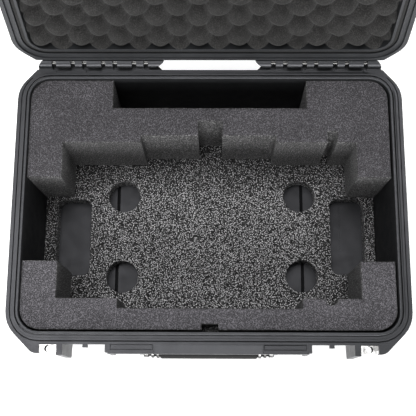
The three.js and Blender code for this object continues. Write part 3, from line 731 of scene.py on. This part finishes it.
def floor_pad():
    """The coarse pad. Its top is a jittered grid of small lumps, fine between the PAD_SEEN y values and
    sparse under the blocks."""
    top, loops = top_loops("foam_floor_pad")
    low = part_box("foam_floor_pad")[0].z
    loops = [resampled(loop, PAD_STEP) for loop in loops]
    outer = max(range(len(loops)), key=lambda i: abs(area_of(loops[i])))
    for i, loop in enumerate(loops):
        if (area_of(loop) > 0) != (i == outer):
            loops[i] = loop[::-1]
    rng = np.random.default_rng(7)
    # rings down each wall: how far below the top, and how far into the material
    hole_rings = [(0.0, 0.9), (0.5, 0.25), (1.2, 0), (7, 0), (14, 0), (1000 * (top - low), 0)]
    rim_rings = [(0.0, 1.0), (0.6, 0.3), (1.4, 0.1), (12.3, 0.8), (16.8, 2.6), (1000 * (top - low), 6.4)]
    points, faces, top_rings, bottom_rings = [], [], [], []
    for i, loop in enumerate(loops):
        rings = []
        for depth, into in (rim_rings if i == outer else hole_rings):
            ring = inset(loop, into * MM) if into else loop
            start = len(points)
            z = top - depth * MM
            points += [(x, y, z) for x, y in ring]
            rings.append((start, ring))
        count = len(loop)
        for (a, _), (b, _) in zip(rings, rings[1:]):
            faces += [(a + k, b + k, b + (k + 1) % count, a + (k + 1) % count) for k in range(count)]
        top_rings.append(rings[0])
        bottom_rings.append(rings[-1])
    lo, hi = loops[outer].min(0), loops[outer].max(0)
    columns = np.arange(lo[0], hi[0], PAD_PITCH)
    rows = np.arange(lo[1], hi[1], PAD_PITCH * 0.866)
    grid = np.array([(x + (j % 2) * PAD_PITCH / 2, y) for j, y in enumerate(rows) for x in columns])
    seen = (grid[:, 1] < PAD_SEEN[1]) & (grid[:, 1] > PAD_SEEN[0])
    coarse = (np.arange(len(grid)) % 5 == 0) & (np.arange(len(grid)) // len(columns) % 4 == 0)
    grid = grid[seen | coarse]
    grid = grid + rng.uniform(-0.33, 0.33, grid.shape) * PAD_PITCH
    keep = np.ones(len(grid), bool)
    for i, (_, ring) in enumerate(top_rings):
        inside = points_inside(grid, ring)
        keep &= inside if i == outer else ~inside
    grid = grid[keep]
    grid = grid[distance_to(grid, [ring for _, ring in top_rings]) > 1.1 * MM]
    tris = fill_between([ring for _, ring in top_rings], grid)
    order = [start + k for start, ring in top_rings for k in range(len(ring))]
    order += list(range(len(points), len(points) + len(grid)))
    flat = np.c_[grid, np.zeros(len(grid))]
    lumps = 0.35 * smooth_noise(flat, 0.0032, 31) + 0.5 * rng.uniform(-1, 1, len(grid))
    swell = 0.3 * smooth_noise(flat, 0.03, 32)
    points += [(x, y, top + d * MM) for (x, y), d in zip(grid, lumps + swell)]
    faces += [tuple(order[k] for k in tri) for tri in tris]
    tris = fill_between([ring for _, ring in bottom_rings], [])
    order = [start + k for start, ring in bottom_rings for k in range(len(ring))]
    faces += [tuple(order[k] for k in tri) for tri in tris]
    mesh = from_arrays("foam_pad", points, faces, smooth=False)
    obj = add_piece("foam_pad", mesh, "pad_foam", "base", "foam_floor_pad")


floor_pad()

# ---- Lid foam: drawn in the closed lid's coordinates, in millimetres, then turned open ----------------

HINGE = Vector((0, 188.5, 137.4))
LID_OPEN = math.radians(104)
TIP_PLANE = 136.3
CRATE_PITCH = 50.9
CRATE_ROW = 19.5
CRATE_X = 12.0
CRATE_Y = 166.5
CRATE_CURVE = 0.049
CRATE_BLEND = 1.1
CRATE_GRID = 3.0
LID_INSIDE = (236, 165.6, 26)


def opened(points):
    """Closed-lid coordinates in millimetres to the row frame in metres."""
    p = np.asarray(points, float) - np.array(HINGE)
    c, s = math.cos(-LID_OPEN), math.sin(-LID_OPEN)
    y, z = p[:, 1] * c - p[:, 2] * s, p[:, 1] * s + p[:, 2] * c
    return (np.stack([p[:, 0], y, z], 1) + np.array(HINGE)) * MM


def rounded_rect(half_x, half_y, radius, steps):
    corners = []
    for i, (sx, sy) in enumerate(((1, 1), (-1, 1), (-1, -1), (1, -1))):
        for k in range(steps + 1):
            a = math.radians(90 * (i + k / steps))
            corners.append(Vector((sx * (half_x - radius) + radius * math.cos(a),
                                   sy * (half_y - radius) + radius * math.sin(a))))
    return corners


def lid_foam():
    """Egg-crate foam: a face of round-topped bumps, a wall and a flat back."""
    def outline(into):
        return resampled(rounded_rect(*(size - into for size in LID_INSIDE), 8), 3.0)

    def surface(p):
        """Round-topped peaks in staggered rows, with softened valleys between them."""
        flat = np.c_[p, np.zeros(len(p))]
        p = p + np.stack([1.3 * smooth_noise(flat, 21, 43), 1.3 * smooth_noise(flat, 21, 44)], 1)
        row = np.round((CRATE_Y - p[:, 1]) / CRATE_ROW)
        total = np.zeros(len(p))
        for dr in (-1, 0, 1):
            across = CRATE_X + np.mod(row + dr, 2) * CRATE_PITCH / 2
            nearest = np.round((p[:, 0] - across) / CRATE_PITCH)
            for dc in (-1, 0, 1):
                x = across + (nearest + dc) * CRATE_PITCH
                y = CRATE_Y - (row + dr) * CRATE_ROW
                drop = CRATE_CURVE * ((p[:, 0] - x) ** 2 + (p[:, 1] - y) ** 2)
                total += np.exp(-drop / CRATE_BLEND)
        drop = -CRATE_BLEND * np.log(np.maximum(total, 1e-12))
        soft = 0.35 * smooth_noise(flat, 12, 41) + 0.16 * smooth_noise(flat, 4.5, 42)
        return TIP_PLANE + np.maximum(drop, 0) + soft

    face = outline(4.9)
    rings = [(outline(4.35), 0.8), (outline(4.6), 4.0), (outline(6.3), None), (outline(9.7), None),
             (outline(20.0), None)]
    count = len(face)
    edge = surface(face)
    points = [(x, y, z) for (x, y), z in zip(face, edge)]
    levels = [None, None, 175.0, 181.5, 187.6]
    for (ring, below), level in zip(rings, levels):
        z = edge + below if level is None else np.full(count, level)
        points += [(x, y, h) for (x, y), h in zip(ring[:count], z)]
    faces = []
    for r in range(len(rings)):
        a, b = r * count, (r + 1) * count
        faces += [(a + k, a + (k + 1) % count, b + (k + 1) % count, b + k) for k in range(count)]
    back = len(rings) * count
    faces.append(tuple(back + k for k in range(count)))
    xs, ys = np.arange(-232, 232, CRATE_GRID), np.arange(-162, 162, CRATE_GRID)
    grid = np.array([(x, y) for y in ys for x in xs])
    grid = grid[points_inside(grid, face)]
    grid = grid[distance_to(grid, [face]) > 1.6]
    tris = fill_between([face], grid)
    order = list(range(count)) + list(range(len(points), len(points) + len(grid)))
    points += [(x, y, z) for (x, y), z in zip(grid, surface(grid))]
    faces += [tuple(order[k] for k in tri) for tri in tris]
    mesh = from_arrays("foam_lid", opened(points), faces)
    obj = add_piece("foam_lid", mesh, "lid_foam", "lid", "lid_foam")


lid_foam()

# ---- Rubber grip --------------------------------------------------------------------------------------

HANDLE_BORE = 7.3 * MM
GRIP_SQUARE = 3.2
FINGER_PITCH = 21 * MM
FINGER_SPAN = 52 * MM


def grip():
    """The rubber grip: a rounded square bar with shallow finger hollows below."""
    lo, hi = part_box("handle_grip")
    centre, half = (lo + hi) / 2, (hi - lo) / 2
    around, along = 48, 97
    points, faces = [], []
    for i in range(along):
        x = lo.x + (hi.x - lo.x) * i / (along - 1)
        from_end = min(x - lo.x, hi.x - x) / MM
        taper = 1 - 0.16 * max(0, 1 - from_end / 3) ** 2
        ripple = 0.035 * math.cos(2 * math.pi * (x - centre.x) / FINGER_PITCH) - 0.035
        finger = ripple if abs(x - centre.x) < FINGER_SPAN else 0
        for k in range(around):
            a = 2 * math.pi * k / around
            cy, cz = math.cos(a), math.sin(a)
            reach = (abs(cy) ** GRIP_SQUARE + abs(cz) ** GRIP_SQUARE) ** (-1 / GRIP_SQUARE)
            under = taper + (finger * 2 if cz < 0.2 else 0)
            points.append((x, centre.y + half.y * reach * cy * taper,
                           centre.z + half.z * reach * cz * under))
    ends = []
    for x in (lo.x, hi.x):
        ends.append(len(points))
        for k in range(around):
            a = 2 * math.pi * k / around
            points.append((x, centre.y + HANDLE_BORE * math.cos(a), centre.z + HANDLE_BORE * math.sin(a)))
    rings = [ends[0], *[i * around for i in range(along)], ends[1], ends[0]]
    for a, b in zip(rings, rings[1:]):
        faces += [(a + k, a + (k + 1) % around, b + (k + 1) % around, b + k) for k in range(around)]
    mesh = from_arrays("grip_cover", points, faces)
    mesh.set_sharp_from_angle(angle=math.radians(50))
    add_piece("grip_cover", mesh, "grip_rubber", "handle", "handle_grip")


grip()

# ---- Ferrules -----------------------------------------------------------------------------------------

# A ferrule's ribs and the grooves between them, from the grip outwards: start, end and radius.
RIBS = [(0, 4.2, 11.6), (4.8, 6.4, 9.2), (7, 11, 11.2), (11.6, 13.2, 8.8), (13.8, 20.6, 10.2)]
RIB_ROUND = 1.4
GROOVE_R = 9.5
GROOVE_ROUND = 0.3
# Ferrule faces closer to the axis than this are painted near black: painted shade in the grooves.
DARK_BELOW = 10.1
FERRULE_BORE = 7.3


def ferrule(side):
    """A turned steel sleeve with rounded ribs, painted near black in its grooves as shade."""
    lo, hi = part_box("handle_ferrule_" + side)
    centre = (lo + hi) / 2
    inner, outwards = (hi.x, -1) if side == "left" else (lo.x, 1)
    around, steps = 64, 5
    path = [(0, FERRULE_BORE)]
    for start, end, radius in RIBS:
        soft = RIB_ROUND if radius > GROOVE_R else GROOVE_ROUND
        for k in range(steps + 1):
            a = math.radians(90 * k / steps)
            path.append((start + soft * (1 - math.cos(a)), radius - soft * (1 - math.sin(a))))
        for k in range(steps, -1, -1):
            a = math.radians(90 * k / steps)
            path.append((end - soft * (1 - math.cos(a)), radius - soft * (1 - math.sin(a))))
    path.append((RIBS[-1][1], FERRULE_BORE))
    points, faces = [], []
    for along, radius in path:
        for k in range(around):
            a = 2 * math.pi * k / around
            points.append((inner + outwards * along * MM, centre.y + radius * MM * math.cos(a),
                           centre.z + radius * MM * math.sin(a)))
    for i in range(len(path)):
        a, b = i * around, (i + 1) % len(path) * around
        faces += [(a + k, a + (k + 1) % around, b + (k + 1) % around, b + k) for k in range(around)]
    name = "ferrule_" + side
    mesh = from_arrays(name, points, faces)
    mesh.set_sharp_from_angle(angle=math.radians(50))
    add_piece(name, mesh, "steel", "handle", "handle_ferrule_" + side)
    mesh.materials[0] = MATERIALS["ferrule_steel"]
    mesh.materials.append(MATERIALS["painted_shade_black"])
    middle = face_middles(mesh)
    from_axis = np.hypot(middle[:, 1] - centre.y, middle[:, 2] - centre.z)
    mesh.polygons.foreach_set("material_index", (from_axis < DARK_BELOW * MM).astype(np.int32))


ferrule("left")
ferrule("right")

# ---- Trigger springs ----------------------------------------------------------------------------------


def spring(side):
    """A coil of round wire in place of the CAD's plain ring."""
    node = "trigger_spring_" + side
    lo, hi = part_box(node)
    centre = (lo + hi) / 2
    wire, turns, steps, around = 0.28 * MM, 3, 96, 8
    radius = (hi.y - lo.y) / 2 - wire
    points, faces = [], []
    for i in range(steps + 1):
        a = 2 * math.pi * turns * i / steps
        x = lo.x + wire + (hi.x - lo.x - 2 * wire) * i / steps
        out = Vector((0, math.cos(a), math.sin(a)))
        for k in range(around):
            b = 2 * math.pi * k / around
            spot = Vector((x, centre.y, centre.z)) + out * (radius + wire * math.cos(b))
            points.append(tuple(spot + Vector((wire * math.sin(b), 0, 0))))
    for i in range(steps):
        a, b = i * around, (i + 1) * around
        faces += [(a + k, a + (k + 1) % around, b + (k + 1) % around, b + k) for k in range(around)]
    faces += [tuple(range(around)), tuple(steps * around + k for k in range(around))]
    mesh = from_arrays("trigger_coil_" + side, points, faces)
    add_piece("trigger_coil_" + side, mesh, "steel", body_of(node), node)


spring("left")
spring("right")

# ---- Stage --------------------------------------------------------------------------------------------


def make_stage():
    """A white floor, four soft lights and a dim white surround."""
    half = 4.0
    mesh = bpy.data.meshes.new("floor")
    corners = [(-half, -half, 0), (half, -half, 0), (half, half, 0), (-half, half, 0)]
    mesh.from_pydata(corners, [], [(0, 1, 2, 3)])
    floor = bpy.data.objects.new("floor", mesh)
    pale = bpy.data.materials.new("pale_floor")
    pale.use_nodes = True
    shader = pale.node_tree.nodes["Principled BSDF"]
    shader.inputs["Base Color"].default_value = (0.96, 0.96, 0.96, 1)
    shader.inputs["Roughness"].default_value = 0.9
    shader.inputs["Emission Color"].default_value = (1, 1, 1, 1)
    shader.inputs["Emission Strength"].default_value = 0.16
    mesh.materials.append(pale)
    bpy.context.scene.collection.objects.link(floor)
    world = bpy.data.worlds.new("studio")
    world.use_nodes = True
    world.node_tree.nodes["Background"].inputs["Color"].default_value = (1, 1, 1, 1)
    world.node_tree.nodes["Background"].inputs["Strength"].default_value = 0.34
    bpy.context.scene.world = world
    for name, at, aim, width, depth, power in (
            ("key", (-0.22, 0.34, 2.15), (-0.05, 0.0, 0.1), 2.5, 0.8, 48),
            ("front", (-0.1, -1.7, 1.5), (0, 0.1, 0.08), 1.6, 0.8, 21),
            ("low", (0.0, -1.7, 0.36), (0, -0.2, 0.08), 2.2, 0.5, 64),
            ("back", (-0.55, 1.75, 0.75), (-0.1, 0.25, 0), 1.3, 1.3, 40)):
        light = bpy.data.lights.new(name, "AREA")
        light.shape, light.size, light.size_y, light.energy = "RECTANGLE", width, depth, power
        obj = bpy.data.objects.new(name, light)
        obj.location = at
        obj.rotation_euler = (Vector(aim) - Vector(at)).to_track_quat("-Z", "Y").to_euler()
        bpy.context.scene.collection.objects.link(obj)
    bpy.context.scene.view_settings.view_transform = "Standard"


make_stage()
